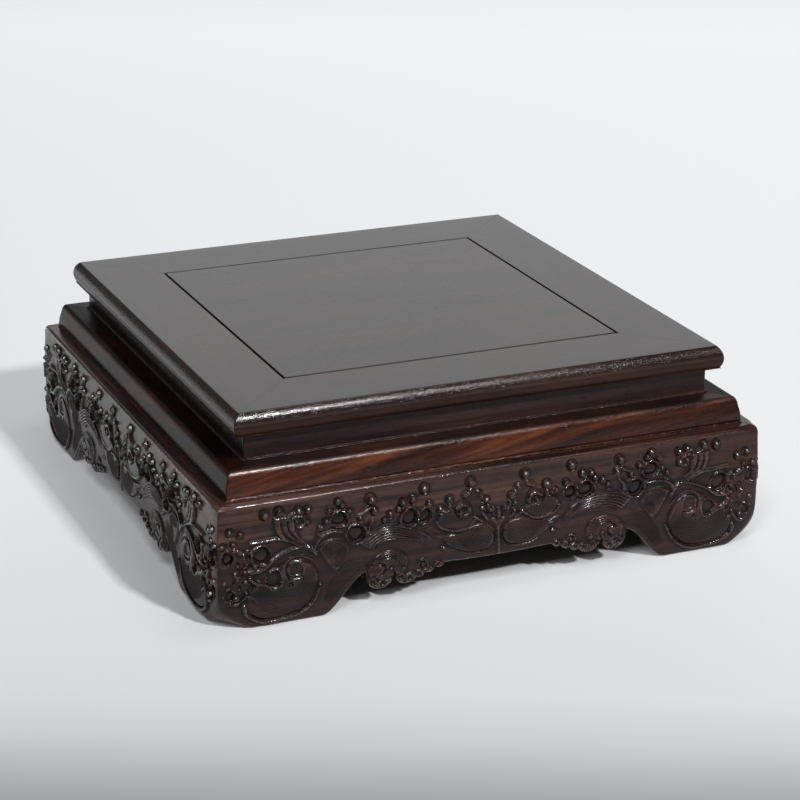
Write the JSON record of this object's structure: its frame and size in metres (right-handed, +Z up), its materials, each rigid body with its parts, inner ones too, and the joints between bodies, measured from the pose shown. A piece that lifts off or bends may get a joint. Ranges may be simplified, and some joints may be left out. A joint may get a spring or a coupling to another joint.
{
  "type": "chinese hardwood stand",
  "caption": "Square dark hardwood display stand with a framed floating-panel top, a plain waist, a rounded moulding and mitred aprons carved with waves and spray, ending in block feet.",
  "frame": {"origin": "on the floor under the middle of the square top", "axes": "+Z up through the top, -Y out of the front, +X to the right seen from the front; the sides are alike"},
  "size_m": [0.2312, 0.2312, 0.08],
  "materials": {
    "top_wood": "satin",
    "waist_wood": "satin",
    "moulding_wood": "satin",
    "apron_wood": "satin",
    "inner_wood": "matte"
  },
  "bodies": {
    "root": {"top_panel": "top_wood", "top_rail_front": "top_wood", "waist_front": "waist_wood", "moulding_front": "moulding_wood", "apron_front": "apron_wood", "top_rail_right": "top_wood", "waist_right": "waist_wood", "moulding_right": "moulding_wood", "apron_right": "apron_wood", "top_rail_back": "top_wood", "waist_back": "waist_wood", "moulding_back": "moulding_wood", "apron_back": "apron_wood", "top_rail_left": "top_wood", "waist_left": "waist_wood", "moulding_left": "moulding_wood", "apron_left": "apron_wood", "panel_batten_left": "inner_wood", "panel_batten_right": "inner_wood", "corner_block_front_left": "inner_wood", "corner_block_front_right": "inner_wood", "corner_block_back_left": "inner_wood", "corner_block_back_right": "inner_wood", "moulding_pins": "inner_wood", "moulding_keys": "inner_wood", "apron_keys": "inner_wood"}
  },
  "joints": []
}
